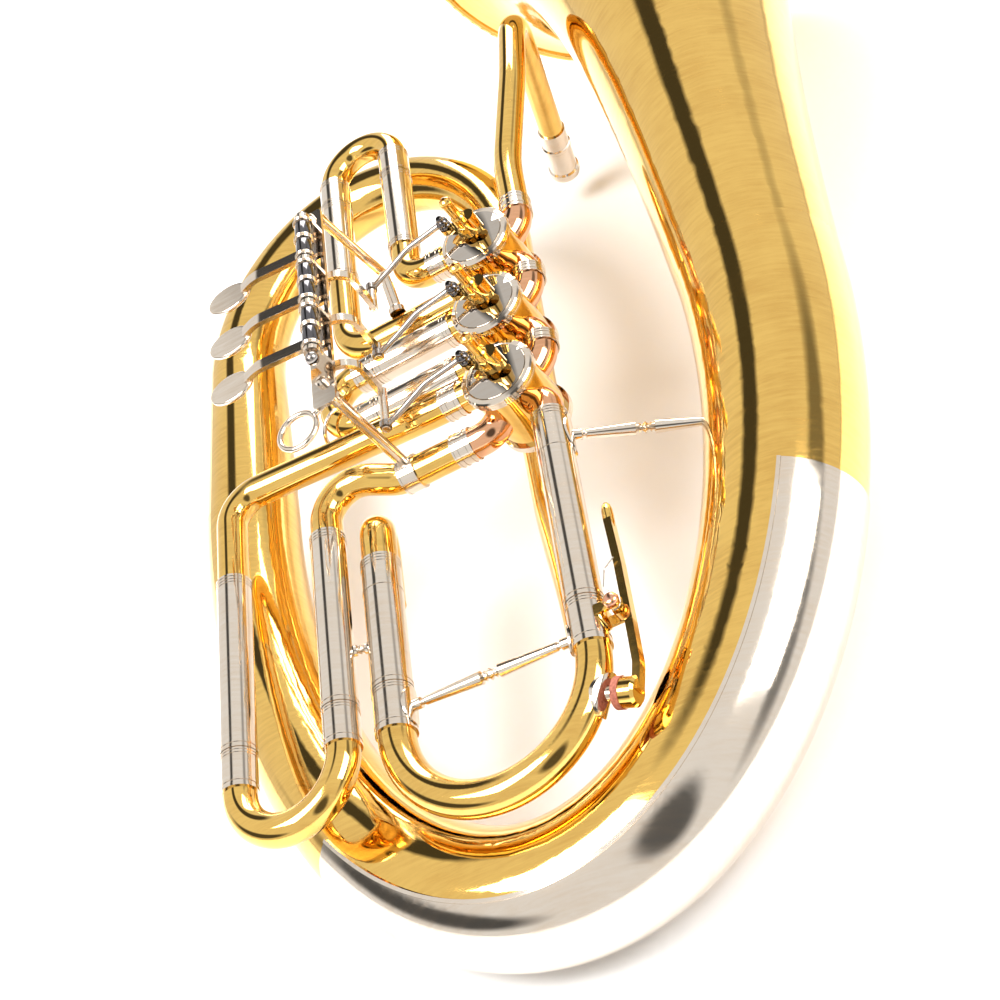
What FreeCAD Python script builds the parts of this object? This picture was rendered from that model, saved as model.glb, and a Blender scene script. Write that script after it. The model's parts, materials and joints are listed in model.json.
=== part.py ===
import FreeCAD, Part
import os
from math import cos, pi, radians, sin, sqrt, tan

# Oval tenor-size tuba with three rotary valves, lying on its back. All sizes in millimetres.
#
# The horn is modelled in its own frame and laid down at the end. In that frame the origin is
# the centre of the third valve's front cap face, +X points to the bell side, +Y up towards the
# bell mouth and +Z to the front, where the valve caps and the levers are.

V = FreeCAD.Vector
X_AXIS = V(1, 0, 0)
Y_AXIS = V(0, 1, 0)
Z_AXIS = V(0, 0, 1)

# How the horn lies: it is turned about X, then about Y, onto its bell rim and its back.
REST_TILT = 8.7
REST_ROLL = -5.56

# Valve block
VALVE_PITCH = 47.8
VALVE_Y = {1: 2 * VALVE_PITCH, 2: VALVE_PITCH, 3: 0.0}
PORT_Z = -20.0
CASING_OUTER = 17.2
CASING_INNER = 15.65
CAP_RADIUS = 18.75
CAP_FRONT_Z = 0.0
CAP_BACK_Z = -42.0
CAP_DEPTH = 5.0
ROTOR_CLEARANCE = 0.06
ROTOR_PASSAGE = 6.2
STEM_RADIUS = 3.0
RUN_CLEARANCE = 0.05

# Cylindrical tubing: outer radii, and the running fit of each slide in its sleeve
WALL = 0.6
TUBE = 7.75
TUBE_BORE = TUBE - WALL
SLIDE_FIT = 0.05
SLEEVE_WALL = 0.65
COPPER_BEND = 16.5
PORT_BEND = 13.0
PORT_RISE = 15.3
OUTER_PORT_RISE = 17.0
LOW_TUBE_RISE = 16.2
ELBOW_END = -28.5
KNUCKLE_X = 17.1
LEADPIPE_START = 123.0

# Main tuning slide: the bell-side leg is narrower than the far leg
MAIN_X = (14.2, -82.0)
MAIN_TUBE = (7.9, 8.6)
MAIN_TOP_Y = (-22.0, -60.0)
COLLAR_LENGTH = (23.0, 17.0)
MAIN_SLEEVE_END = -132.0
MAIN_LEG_END = -155.0
MAIN_INNER_TOP = -70.0

# Valve slides: distance between the legs comes from these leg positions
SLIDE1_X = (-49.0, -88.0)
SLIDE1_SLEEVE = (136.0, 196.0)
SLIDE2_X = (-27.0, -84.0)
SLIDE3_X = (-104.5, -159.0)
SLIDE3_Z = -12.0
SLIDE3_SLEEVE = (-38.0, -136.0)
SLIDE_END = 20.0

# Conical body, from the tuning slide to the bell: centre lines and outer radii
BODY_WALL = 0.7
BODY_START_RADIUS = 8.6
REAR_OFFSET = V(-8.2, 0, -17.6)
REAR_END_RADIUS = 9.2
REAR_BOW_RISE = 18.0
BODY_Z = -62.0
INNER_BRANCH = V(-8.0, 0, BODY_Z)
TOP_BOW_RADIUS = 13.0
LEFT_X = -181.0
BELL_X = 118.0
BODY_MID_Y = 45.0
BOTTOM_DEPTH = 274.0
GUARD_OFFSET = 13.5
BOTTOM_START_RADIUS = 25.0
BOTTOM_FLARE = 1.4
TOP_BOW_Y = 150.0
TOP_BOW_RISE = 100.0

# Bell: horn curve from the mouth down to the bottom bow
BELL_MOUTH_Y = 425.0
BELL_LENGTH = 380.0
BELL_MOUTH = 145.0
BELL_CURVE = 72.0
BELL_POWER = 0.7
BELL_WALL = 0.8
RIM_WIRE = 2.2

# Lever action
AXLE = V(-67.0, 0, 50.0)
AXLE_RADIUS = 1.5
BARREL = 4.0
LEVER_PITCH = 31.0
LEVER_Y = {1: 80.5, 2: 49.5, 3: 18.5}
BARREL_LENGTH = 27.6
LUG = 2.4
PLATE_X = (-73.5, -61.2)
PLATE_Y = (-14.0, 120.0)
PLATE_Z = 42.0
PLATE_THICKNESS = 2.0
SLOT_X = (-71.4, -63.4)
ARM_X = -69.6
PIN = V(-58.6, 0, 3.0)
PIN_RADIUS = 1.2
EYE_DROP = -2.5
EYE_HALF = 1.7
ROD_RADIUS = 1.6
ARM_RADIUS = 13.2
ARM_ANGLE = 145.0
ARM_Z = 4.0
BALL_Z = 10.0

# Water key on the bell-side leg of the tuning slide
KEY_PIVOT = V(29.0, -141.5, -20.0)
KEY_TIP = V(32.5, -95.0, -20.0)
KEY_SEAT_ANGLE = -26.0

# Mouthpipe
RECEIVER_BORE = 6.4
RECEIVER_DEPTH = 26.0


def route(points, bends):
    """Wire of straight runs joined by tangent arcs, one bend radius for each inner point."""
    edges = []
    last = points[0]
    for before, corner, after, bend in zip(points, points[1:], points[2:], bends):
        back = (before - corner).normalize()
        ahead = (after - corner).normalize()
        half = back.getAngle(ahead) / 2
        start = corner + back * (bend / tan(half))
        end = corner + ahead * (bend / tan(half))
        inward = (back + ahead).normalize()
        middle = corner + inward * (bend / sin(half) - bend)
        if (start - last).Length > 0.001:
            edges.append(Part.LineSegment(last, start).toShape())
        edges.append(Part.Arc(start, middle, end).toShape())
        last = end
    if (points[-1] - last).Length > 0.001:
        edges.append(Part.LineSegment(last, points[-1]).toShape())
    return Part.Wire(edges)


def rod(path, radius):
    """Solid round bar along a route."""
    first = path.OrderedEdges[0]
    direction = first.tangentAt(first.FirstParameter)
    circle = Part.Circle(first.valueAt(first.FirstParameter), direction, radius)
    return path.makePipeShell([Part.Wire([circle.toShape()])], True, False)


def tube(path, outer, inner):
    """Hollow tube along a route."""
    return rod(path, outer).cut(rod(path, inner))


def bar(start, end, radius):
    """Solid cylinder between two points."""
    return Part.makeCylinder(radius, (end - start).Length, start, end - start)


def ring(start, end, outer, inner):
    """Hollow cylinder between two points."""
    return bar(start, end, outer).cut(bar(start, end, inner))


def turned(start, end, profile):
    """Solid of revolution from start to end: profile holds (radius, height) points."""
    points = [V(radius, 0, height) for radius, height in profile]
    face = Part.Face(Part.makePolygon(points + points[:1]))
    solid = face.revolve(V(0, 0, 0), Z_AXIS, 360)
    turn = FreeCAD.Rotation(Z_AXIS, end - start)
    return solid.transformed(FreeCAD.Placement(start, turn).toMatrix(), True)


def banded_sleeve(start, end, inner, outer, bands):
    """Sleeve with raised bands; each band is (from, to) in millimetres from the start."""
    length = (end - start).Length
    profile = [(inner, 0), (outer, 0)]
    lip = outer + 0.25
    for low, high in bands:
        profile += [(outer, low), (lip, low), (lip, high), (outer, high)]
    profile += [(outer, length), (inner, length)]
    clean = [point for point, last in zip(profile, [None] + profile) if point != last]
    return turned(start, end, clean)


def cone_solid(centres, tangents, radii):
    """Solid lofted through circles that stand square on a centre line."""
    wires = []
    for centre, tangent, radius in zip(centres, tangents, radii):
        circle = Part.Circle(centre, tangent, radius)
        circle.XAxis = Z_AXIS - tangent * Z_AXIS.dot(tangent)
        wires.append(Part.Wire([circle.toShape()]))
    return Part.makeLoft(wires, True, False)


def cone_tube(centres, tangents, radii, wall):
    """Tapering tube of even wall thickness along a centre line."""
    inner = [radius - wall for radius in radii]
    return cone_solid(centres, tangents, radii).cut(cone_solid(centres, tangents, inner))


def bend_stations(centre, across, along, half_width, half_height, start, end, count):
    """Points and directions on an elliptical bend, from one angle to another."""
    centres = []
    tangents = []
    way = 1 if end > start else -1
    for step in range(count + 1):
        angle = radians(start + (end - start) * step / count)
        centres.append(centre + across * (half_width * cos(angle)) + along * (half_height * sin(angle)))
        slope = across * (-half_width * sin(angle)) + along * (half_height * cos(angle))
        tangents.append(slope.normalize() * way)
    return centres, tangents


def blend(start, end, count):
    """Evenly spaced numbers from start to end."""
    return [start + (end - start) * step / count for step in range(count + 1)]


def growing(centres, start, end, power=1.0):
    """Radii that grow with the distance along a centre line; a power above one flares the end."""
    distance = [0.0]
    for before, after in zip(centres, centres[1:]):
        distance.append(distance[-1] + (after - before).Length)
    return [start + (end - start) * (run / distance[-1]) ** power for run in distance]


def foot(axis_point, axis, tube_radius, towards, half_length, half_width):
    """Curved saddle of a brace: an oval patch of a thin shell round a tube."""
    along = V(axis).normalize()
    out = V(towards).normalize()
    reach = along * 40
    shell = ring(axis_point - reach, axis_point + reach, tube_radius + 0.7, tube_radius)
    oval = Part.Ellipse(V(0, 0, 0), half_length, half_width)
    prism = Part.Face(Part.Wire([oval.toShape()])).extrude(Z_AXIS * (tube_radius + 2))
    turn = FreeCAD.Rotation(along, V(out).cross(along), out, "ZXY")
    return shell.common(prism.transformed(FreeCAD.Placement(axis_point, turn).toMatrix(), True))


def brace_profile(length, thick, thin):
    """Half outline of a turned brace with a bead in the middle and a collar at each end."""
    half = length / 2
    side = [(thick, 0), (thick, 4), (thin, 4.6), (thin, 5.6), (thin + 0.6, 6.2)]
    side += [(thick + 0.5, half - 4.5), (thin + 0.2, half - 3.6), (thin + 0.9, half - 2.6), (thin, half - 1.6)]
    mirrored = [(radius, length - height) for radius, height in reversed(side)]
    return [(0, 0)] + side + [(thick + 0.2, half)] + mirrored + [(0, length)]


# ---------------------------------------------------------------- valves

def valve_point(number, angle, distance):
    """Point at the port level of a valve, at an angle from +X and a distance from its axis."""
    turn = radians(angle)
    return V(distance * cos(turn), VALVE_Y[number] + distance * sin(turn), PORT_Z)


def valve_axis(number, height):
    return V(0, VALVE_Y[number], height)


def trim_to_valves(shape):
    """Cut a port tube flush with the inner wall of every casing."""
    for number in VALVE_Y:
        shape = shape.cut(bar(valve_axis(number, CAP_BACK_Z), valve_axis(number, 0), CASING_INNER + 0.02))
    return shape


def casing(number):
    """Brass casing with four port holes."""
    top = CAP_FRONT_Z - CAP_DEPTH
    bottom = CAP_BACK_Z + CAP_DEPTH
    body = ring(valve_axis(number, bottom), valve_axis(number, top), CASING_OUTER, CASING_INNER)
    for angle in (45, 135, 225, 315):
        body = body.cut(bar(valve_axis(number, PORT_Z), valve_point(number, angle, 22), TUBE))
    return body


def cap_front(number):
    """Screwed nickel-silver front cap with a bevelled rim and a hole for the rotor stem."""
    hole = STEM_RADIUS + 0.3
    profile = [(hole, 3.2), (14.2, 3.2), (14.2, 0), (CAP_RADIUS, 0), (CAP_RADIUS, 3.9)]
    profile += [(CAP_RADIUS - 0.7, 4.6), (CAP_RADIUS - 2.6, CAP_DEPTH), (CAP_RADIUS - 3.2, 4.7)]
    profile += [(hole, 4.7)]
    low = valve_axis(number, CAP_FRONT_Z - CAP_DEPTH)
    return turned(low, valve_axis(number, CAP_FRONT_Z), profile)


def cap_rear(number):
    """Screwed rear cap, domed a little."""
    low = valve_axis(number, CAP_BACK_Z)
    profile = [(0, 0), (CAP_RADIUS - 4, 0), (CAP_RADIUS - 1, 0.6), (CAP_RADIUS, 1.4), (CAP_RADIUS, CAP_DEPTH)]
    profile += [(14.2, CAP_DEPTH), (14.2, 2), (0, 2)]
    return turned(low, valve_axis(number, CAP_FRONT_Z), profile)


def rotor(number):
    """Rotor with its two curved passages, its bearing plate journal and its stem."""
    radius = CASING_INNER - ROTOR_CLEARANCE
    top = CAP_FRONT_Z - CAP_DEPTH - 0.4
    bottom = CAP_BACK_Z + CAP_DEPTH + 0.4
    body = bar(valve_axis(number, bottom), valve_axis(number, top), radius)
    far = 2 * radius
    for side in (1, -1):
        start = V(side * far * cos(pi / 4), VALVE_Y[number] + far * sin(pi / 4), PORT_Z)
        end = V(side * far * cos(pi / 4), VALVE_Y[number] - far * sin(pi / 4), PORT_Z)
        centre = V(side * radius * sqrt(2), VALVE_Y[number], PORT_Z)
        middle = centre - X_AXIS * (side * radius)
        near_start = valve_axis(number, PORT_Z) + (start - valve_axis(number, PORT_Z)) * 0.5
        near_end = valve_axis(number, PORT_Z) + (end - valve_axis(number, PORT_Z)) * 0.5
        edges = [Part.LineSegment(start, near_start).toShape(), Part.Arc(near_start, middle, near_end).toShape()]
        edges.append(Part.LineSegment(near_end, end).toShape())
        body = body.cut(rod(Part.Wire(edges), ROTOR_PASSAGE))
    body = body.fuse(bar(valve_axis(number, top), valve_axis(number, ARM_Z), STEM_RADIUS))
    return body.fuse(bar(valve_axis(number, bottom - 1.8), valve_axis(number, bottom), 5))


def stop_arm(number):
    """Gold stop arm on the rotor stem: linkage lug, round boss, tall post and its slotted screw."""
    centre = valve_axis(number, ARM_Z)
    turn = radians(ARM_ANGLE)
    out = V(cos(turn), sin(turn), 0)
    lug = centre + out * ARM_RADIUS
    lift = V(0, 0, 3)
    body = bar(centre, centre + lift, 5.2).fuse(bar(lug, lug + lift, 3.3))
    strip = Part.makeBox(ARM_RADIUS, 5, 3, V(0, -2.5, 0))
    place = FreeCAD.Placement(centre, FreeCAD.Rotation(Z_AXIS, ARM_ANGLE))
    body = body.fuse(strip.transformed(place.toMatrix(), True))
    boss = centre + V(4.2, -1.4, 0)
    body = body.fuse(bar(boss, boss + V(0, 0, 10.5), 4.2))
    post = [(0, 0), (3.6, 0), (3.6, 11.2), (2.75, 12), (2.75, 20.6), (2.4, 20.8), (0, 20.8)]
    body = body.fuse(turned(centre, centre + lift, post))
    head = [(0, 20.8), (3.1, 20.8), (3.1, 22.4), (2.5, 23.6), (1.3, 24.3), (0, 24.5)]
    screw = turned(centre, centre + lift, head)
    slot = Part.makeBox(8, 0.9, 2, centre + V(-4, -0.45, 23))
    return body.fuse(screw.cut(slot)).removeSplitter()


# ---------------------------------------------------------------- knuckles and port tubes

def knuckle_path(upper, lower):
    """Route of the bow between two neighbouring valves."""
    corner = V(VALVE_PITCH / 2, VALVE_Y[lower] + VALVE_PITCH / 2, PORT_Z)
    return route([valve_point(upper, -45, 14), corner, valve_point(lower, 45, 14)], [COPPER_BEND])


def knuckle_between(upper, lower):
    """Copper-coloured bow that joins two neighbouring valves on the bell side."""
    return trim_to_valves(tube(knuckle_path(upper, lower), TUBE, TUBE_BORE))


def ferrule(centre, axis, half, radius):
    """Nickel-silver ferrule with four raised rings on a tube."""
    way = V(axis).normalize()
    bands = [(0, 0.9), (half * 0.5, half * 0.5 + 0.8), (half * 1.5 - 0.8, half * 1.5), (2 * half - 0.9, 2 * half)]
    return banded_sleeve(centre - way * half, centre + way * half, radius, radius + 0.45, bands)


def knuckle_in():
    """Copper-coloured elbow from the mouthpipe into the first valve."""
    corner = V(KNUCKLE_X, VALVE_Y[1] + KNUCKLE_X, PORT_Z)
    path = route([valve_point(1, 45, 14), corner, V(KNUCKLE_X, LEADPIPE_START, PORT_Z)], [COPPER_BEND])
    return trim_to_valves(tube(path, TUBE, TUBE_BORE))


def knuckle_out():
    """Copper-coloured elbow from the third valve into the tuning slide."""
    corner = V(MAIN_X[0], -MAIN_X[0], PORT_Z)
    path = route([valve_point(3, -45, 14), corner, V(MAIN_X[0], MAIN_TOP_Y[0], PORT_Z)], [7.6])
    return trim_to_valves(tube(path, TUBE, TUBE_BORE))


def low_elbow():
    """Copper-coloured elbow from the third valve into its lower tube."""
    level = VALVE_Y[3] - LOW_TUBE_RISE
    corner = V(-LOW_TUBE_RISE, level, PORT_Z)
    path = route([valve_point(3, 225, 14), corner, V(ELBOW_END, level, PORT_Z)], [PORT_BEND])
    return trim_to_valves(tube(path, TUBE, TUBE_BORE))


def ferrules():
    """Ringed ferrules that join the bends, the mouthpipe and the valve tubes."""
    shapes = []
    for number in (1, 2):
        middle = VALVE_Y[number] - VALVE_PITCH / 2
        band = ferrule(V(KNUCKLE_X, middle, PORT_Z), Y_AXIS, 3.4, TUBE)
        shapes.append(band.cut(rod(knuckle_path(number, number + 1), TUBE)))
    shapes.append(ferrule(V(KNUCKLE_X, LEADPIPE_START, PORT_Z), Y_AXIS, 5.0, TUBE))
    high = VALVE_Y[1] + OUTER_PORT_RISE
    shapes.append(ferrule(V(-30.0, high, PORT_Z), X_AXIS, 4.5, TUBE))
    shapes.append(ferrule(V(-33.0, VALVE_Y[3] + PORT_RISE, PORT_Z), X_AXIS, 5.0, TUBE))
    shapes.append(ferrule(V(ELBOW_END - 1.5, VALVE_Y[3] - LOW_TUBE_RISE, PORT_Z), X_AXIS, 5.0, TUBE))
    return shapes


def port_path(number, side, rise, points, bends):
    """Route that leaves a left-hand port at 45 degrees, turns level and goes on."""
    level = VALVE_Y[number] + side * rise
    start = valve_point(number, 180 - side * 45, 14)
    corner = V(-rise, level, PORT_Z)
    return route([start, corner] + points, [PORT_BEND] + bends)


def port_tubes_1():
    """Tubes from the first valve, both turning up to their sleeves."""
    high = VALVE_Y[1] + OUTER_PORT_RISE
    low = VALVE_Y[1] - PORT_RISE
    end = SLIDE1_SLEEVE[0]
    path_a = port_path(1, 1, OUTER_PORT_RISE,
                       [V(SLIDE1_X[0], high, PORT_Z), V(SLIDE1_X[0], end, PORT_Z)], [13.0])
    path_b = port_path(1, -1, PORT_RISE,
                       [V(SLIDE1_X[1], low, PORT_Z), V(SLIDE1_X[1], end, PORT_Z)], [19.0])
    return [trim_to_valves(tube(path, TUBE, TUBE_BORE)) for path in (path_a, path_b)]


def port_tubes_2():
    """Two short tubes from the second valve, straight into their sleeves."""
    tubes = []
    for side in (1, -1):
        level = VALVE_Y[2] + side * PORT_RISE
        path = port_path(2, side, PORT_RISE, [V(SLIDE2_X[0], level, PORT_Z)], [])
        tubes.append(trim_to_valves(tube(path, TUBE, TUBE_BORE)))
    return tubes


def port_tubes_3():
    """The long crossing tube and the doubly bent tube of the third valve, down to their sleeves."""
    level = VALVE_Y[3] + PORT_RISE
    low = VALVE_Y[3] - LOW_TUBE_RISE
    far = SLIDE3_X[1]
    near = SLIDE3_X[0]
    end = SLIDE3_SLEEVE[0]
    path_a = port_path(3, 1, PORT_RISE,
                       [V(-43, level, PORT_Z), V(far, level - 1, SLIDE3_Z), V(far, end, SLIDE3_Z)], [60.0, 17.0])
    path_b = route([V(ELBOW_END, low, PORT_Z), V(-66, low, PORT_Z), V(-83, -12.5, SLIDE3_Z),
                    V(near, -12.5, SLIDE3_Z), V(near, end, SLIDE3_Z)], [20.0, 20.0, 17.0])
    return [trim_to_valves(tube(path, TUBE, TUBE_BORE)) for path in (path_a, path_b)]


# ---------------------------------------------------------------- valve slides

SLEEVE_IN = TUBE + SLIDE_FIT
SLEEVE_OUT = SLEEVE_IN + SLEEVE_WALL
END_BANDS = [(0, 1.2), (2.2, 3.0), (4.0, 4.6)]


def sleeves(ends):
    """Outer slide sleeves between pairs of points, with bands at both ends."""
    shapes = []
    for start, end in ends:
        length = (end - start).Length
        bands = END_BANDS + [(length - 3.2, length - 2.4), (length - 1.2, length)]
        shapes.append(banded_sleeve(start, end, SLEEVE_IN, SLEEVE_OUT, bands))
    return shapes


def slide_legs(ends, reach):
    """Inner slide tubes with end ferrules; each pair is (sleeve mouth, ferrule end)."""
    shapes = []
    for mouth, end in ends:
        way = (end - mouth).normalize()
        inner = ring(mouth - way * reach, end, TUBE, TUBE_BORE)
        bands = [(0, 0.9), (1.8, 2.4)]
        length = (end - mouth).Length - 0.6
        bands += [(length - 3.6, length - 2.8), (length - 1.4, length)]
        ferrule = banded_sleeve(mouth + way * 0.6, end, TUBE, SLEEVE_OUT, bands)
        shapes.append(inner.fuse(ferrule))
    return shapes


def slide_bow(first, second, way, depth):
    """Half-round bow that joins two parallel slide legs."""
    span = second - first
    out = V(way).normalize() * depth
    bend = span.Length / 2
    path = route([first, first + out + way * bend, second + out + way * bend, second], [bend - 0.01, bend - 0.01])
    return tube(path, TUBE, TUBE_BORE)


def slide_1():
    tops = [V(x, SLIDE1_SLEEVE[1], PORT_Z) for x in SLIDE1_X]
    ends = [top + Y_AXIS * SLIDE_END for top in tops]
    bottoms = [V(x, SLIDE1_SLEEVE[0], PORT_Z) for x in SLIDE1_X]
    bow = slide_bow(ends[0], ends[1], Y_AXIS, 0)
    return sleeves(zip(bottoms, tops)), slide_legs(zip(tops, ends), 50), bow


def slide_2():
    levels = [VALVE_Y[2] + PORT_RISE, VALVE_Y[2] - PORT_RISE]
    starts = [V(SLIDE2_X[0], level, PORT_Z) for level in levels]
    mouths = [V(SLIDE2_X[1] + 12, level, PORT_Z) for level in levels]
    ends = [V(SLIDE2_X[1], level, PORT_Z) for level in levels]
    bow = slide_bow(ends[0], ends[1], -X_AXIS, 0)
    return sleeves(zip(starts, mouths)), slide_legs(zip(mouths, ends), 30) + [pull_ring()], bow


def pull_ring():
    """Loose wire ring hanging on the bow of the second slide."""
    out = V(-1, -1, 0).normalize()
    on_bow = V(SLIDE2_X[1], VALVE_Y[2], PORT_Z) + out * PORT_RISE
    return Part.makeTorus(11.0, 1.1, on_bow + out * 2.15, V(1, -1, 0).normalize())


def slide_3():
    tops = [V(x, SLIDE3_SLEEVE[0], SLIDE3_Z) for x in SLIDE3_X]
    mouths = [V(x, SLIDE3_SLEEVE[1], SLIDE3_Z) for x in SLIDE3_X]
    ends = [mouth - Y_AXIS * SLIDE_END for mouth in mouths]
    bow = slide_bow(ends[0], ends[1], -Y_AXIS, 0)
    return sleeves(zip(tops, mouths)), slide_legs(zip(mouths, ends), 85), bow


# ---------------------------------------------------------------- main tuning slide

def main_sleeve(index):
    """Fixed outer sleeve of the tuning slide, with its wide collar at the valve end."""
    x = MAIN_X[index]
    inner = MAIN_TUBE[index] + SLIDE_FIT
    start = V(x, MAIN_TOP_Y[index], PORT_Z)
    end = V(x, MAIN_SLEEVE_END, PORT_Z)
    length = (end - start).Length
    collar = COLLAR_LENGTH[index]
    bands = [(0, 1.2), (2.2, 2.9), (4.0, 4.6), (collar, collar + 1.2)]
    bands += [(length - 3.4, length - 2.4), (length - 1.2, length)]
    return banded_sleeve(start, end, inner, inner + SLEEVE_WALL, bands)


def main_leg(index):
    """Inner tube of the tuning slide with its end ferrule."""
    x = MAIN_X[index]
    outer = MAIN_TUBE[index]
    mouth = V(x, MAIN_SLEEVE_END - 0.6, PORT_Z)
    end = V(x, MAIN_LEG_END, PORT_Z)
    length = (end - mouth).Length
    inner = ring(V(x, MAIN_INNER_TOP, PORT_Z), end, outer, outer - WALL)
    bands = [(0, 0.9), (1.8, 2.4), (length - 4.2, length - 3.4), (length - 1.6, length)]
    return inner.fuse(banded_sleeve(mouth, end, outer, outer + SLIDE_FIT + SLEEVE_WALL, bands))


def main_bow():
    """Bottom bow of the tuning slide, growing a little from the bell side to the far side."""
    centre = V(sum(MAIN_X) / 2, MAIN_LEG_END, PORT_Z)
    half = (MAIN_X[0] - MAIN_X[1]) / 2
    centres, tangents = bend_stations(centre, X_AXIS, Y_AXIS, half, half, 0, -180, 16)
    return cone_tube(centres, tangents, blend(MAIN_TUBE[0], MAIN_TUBE[1], 16), WALL)


def slide_brace():
    """Turned nickel-silver brace between the two legs of the tuning slide, with its saddles."""
    start_axis = V(MAIN_X[1], -143.5, PORT_Z)
    end_axis = V(MAIN_X[0], -147.0, PORT_Z)
    start_radius = MAIN_TUBE[1] + SLIDE_FIT + SLEEVE_WALL + 0.3
    end_radius = MAIN_TUBE[0] + SLIDE_FIT + SLEEVE_WALL + 0.3
    way = (end_axis - start_axis).normalize()
    start = start_axis + way * (start_radius + 0.3)
    end = end_axis - way * (end_radius + 0.3)
    body = turned(start, end, brace_profile((end - start).Length, 2.6, 1.5))
    body = body.fuse(foot(start_axis, Y_AXIS, start_radius, way, 9.5, 6.5))
    return body.fuse(foot(end_axis, Y_AXIS, end_radius, way * -1, 7.5, 6))


# ---------------------------------------------------------------- conical body

REAR_X = [x + REAR_OFFSET.x for x in MAIN_X]
REAR_Z = PORT_Z + REAR_OFFSET.z
REAR_BEND_Y = MAIN_LEG_END + REAR_BOW_RISE


def return_bow():
    """Tube from the tuning slide: over the top, down behind the slide and under, to the bell side."""
    top = V(MAIN_X[1], MAIN_TOP_Y[1], PORT_Z)
    far = top + REAR_OFFSET
    rise = Y_AXIS * 24
    bend = REAR_OFFSET.Length / 2
    end = far - Y_AXIS * 10
    path = route([top - Y_AXIS * 4, top + rise, far + rise, end], [bend - 0.001, bend - 0.001])
    crook = tube(path, BODY_START_RADIUS, BODY_START_RADIUS - BODY_WALL)
    centres = [V(REAR_X[1], y, REAR_Z) for y in blend(end.y, REAR_BEND_Y, 3)[:-1]]
    tangents = [V(0, -1, 0)] * 3
    middle = sum(REAR_X) / 2
    half = (REAR_X[0] - REAR_X[1]) / 2
    under, under_ways = bend_stations(V(middle, REAR_BEND_Y, REAR_Z), X_AXIS, Y_AXIS, half, half, 180, 360, 12)
    centres += under
    tangents += under_ways
    radii = growing(centres, BODY_START_RADIUS, REAR_END_RADIUS)
    return Part.makeCompound([crook, cone_tube(centres, tangents, radii, BODY_WALL)])


def inner_branch():
    """Branch that runs up behind the tuning slide and the valves."""
    centres = []
    tangents = []
    start = V(REAR_X[0], REAR_BEND_Y, REAR_Z)
    end = V(INNER_BRANCH.x, -28.0, INNER_BRANCH.z)
    for step in range(9):
        part = step / 8
        ease = part * part * (3 - 2 * part)
        rate = 6 * part * (1 - part) / (end.y - start.y)
        sweep = V(end.x - start.x, 0, end.z - start.z)
        centres.append(V(start.x, start.y + (end.y - start.y) * part, start.z) + sweep * ease)
        tangents.append((Y_AXIS + sweep * rate).normalize())
    for y in blend(20, TOP_BOW_Y, 4):
        centres.append(V(end.x, y, end.z))
        tangents.append(V(0, 1, 0))
    return cone_tube(centres, tangents, growing(centres, REAR_END_RADIUS, TOP_BOW_RADIUS), BODY_WALL)


def far_side_stations():
    """Centre line and radii over the top bow and down the far side of the horn."""
    middle = (INNER_BRANCH.x + LEFT_X) / 2
    half = (INNER_BRANCH.x - LEFT_X) / 2
    centre = V(middle, TOP_BOW_Y, BODY_Z)
    centres, tangents = bend_stations(centre, X_AXIS, Y_AXIS, half, TOP_BOW_RISE, 0, 180, 20)
    centres.append(V(LEFT_X, BODY_MID_Y, BODY_Z))
    tangents.append(V(0, -1, 0))
    return centres, tangents, growing(centres, TOP_BOW_RADIUS, BOTTOM_START_RADIUS)


def top_bow():
    """Top bow, from the inner branch over to the far side of the horn."""
    centres, tangents, radii = [part[:-1] for part in far_side_stations()]
    return cone_tube(centres, tangents, radii, BODY_WALL)


def left_branch():
    """Straight conical branch down the far side of the horn."""
    centres, tangents, radii = [part[-2:] for part in far_side_stations()]
    return cone_tube(centres, tangents, radii, BODY_WALL)


def bell_radius(y):
    """Horn curve: outer radius of the bell at a height."""
    return BELL_MOUTH * (BELL_CURVE / (BELL_CURVE + BELL_MOUTH_Y - y)) ** BELL_POWER


BELL_START_Y = BELL_MOUTH_Y - BELL_LENGTH
BELL_START_RADIUS = bell_radius(BELL_START_Y)


def bottom_bow_stations():
    """Centre line and radii of the big oval bow."""
    middle = V((LEFT_X + BELL_X) / 2, BODY_MID_Y, BODY_Z)
    half = (BELL_X - LEFT_X) / 2
    centres, tangents = bend_stations(middle, X_AXIS, Y_AXIS, half, BOTTOM_DEPTH, 180, 360, 24)
    return centres, tangents, growing(centres, BOTTOM_START_RADIUS, BELL_START_RADIUS, BOTTOM_FLARE)


def bottom_bow():
    """Big oval bow under the horn, from the far branch round to the bell."""
    return cone_tube(*bottom_bow_stations(), BODY_WALL)


def bow_guard():
    """Nickel-silver guard on the outer half of the bottom bow, with a bead along its edge."""
    middle = V((LEFT_X + BELL_X) / 2, BODY_MID_Y, BODY_Z - 60)
    half = (BELL_X - LEFT_X) / 2
    low, high = 7, 20
    centres, tangents, radii = [part[low:high + 1] for part in bottom_bow_stations()]
    shapes = []
    for inset, skin in ((GUARD_OFFSET, 0.7), (GUARD_OFFSET - 1.6, 1.2)):
        oval = Part.Ellipse(V(0, 0, 0), BOTTOM_DEPTH + inset, half + inset)
        turn = FreeCAD.Placement(middle, FreeCAD.Rotation(Z_AXIS, 90))
        core = Part.Face(Part.Wire([oval.toShape()])).extrude(Z_AXIS * 120)
        outer = cone_solid(centres, tangents, [radius + skin for radius in radii])
        shell = outer.cut(cone_solid(centres, tangents, radii))
        shapes.append((shell, core.transformed(turn.toMatrix(), True)))
    guard = shapes[0][0].cut(shapes[0][1])
    bead = shapes[1][0].cut(shapes[1][1]).common(shapes[0][1])
    return Part.makeCompound([guard] + bead.Solids)


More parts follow.
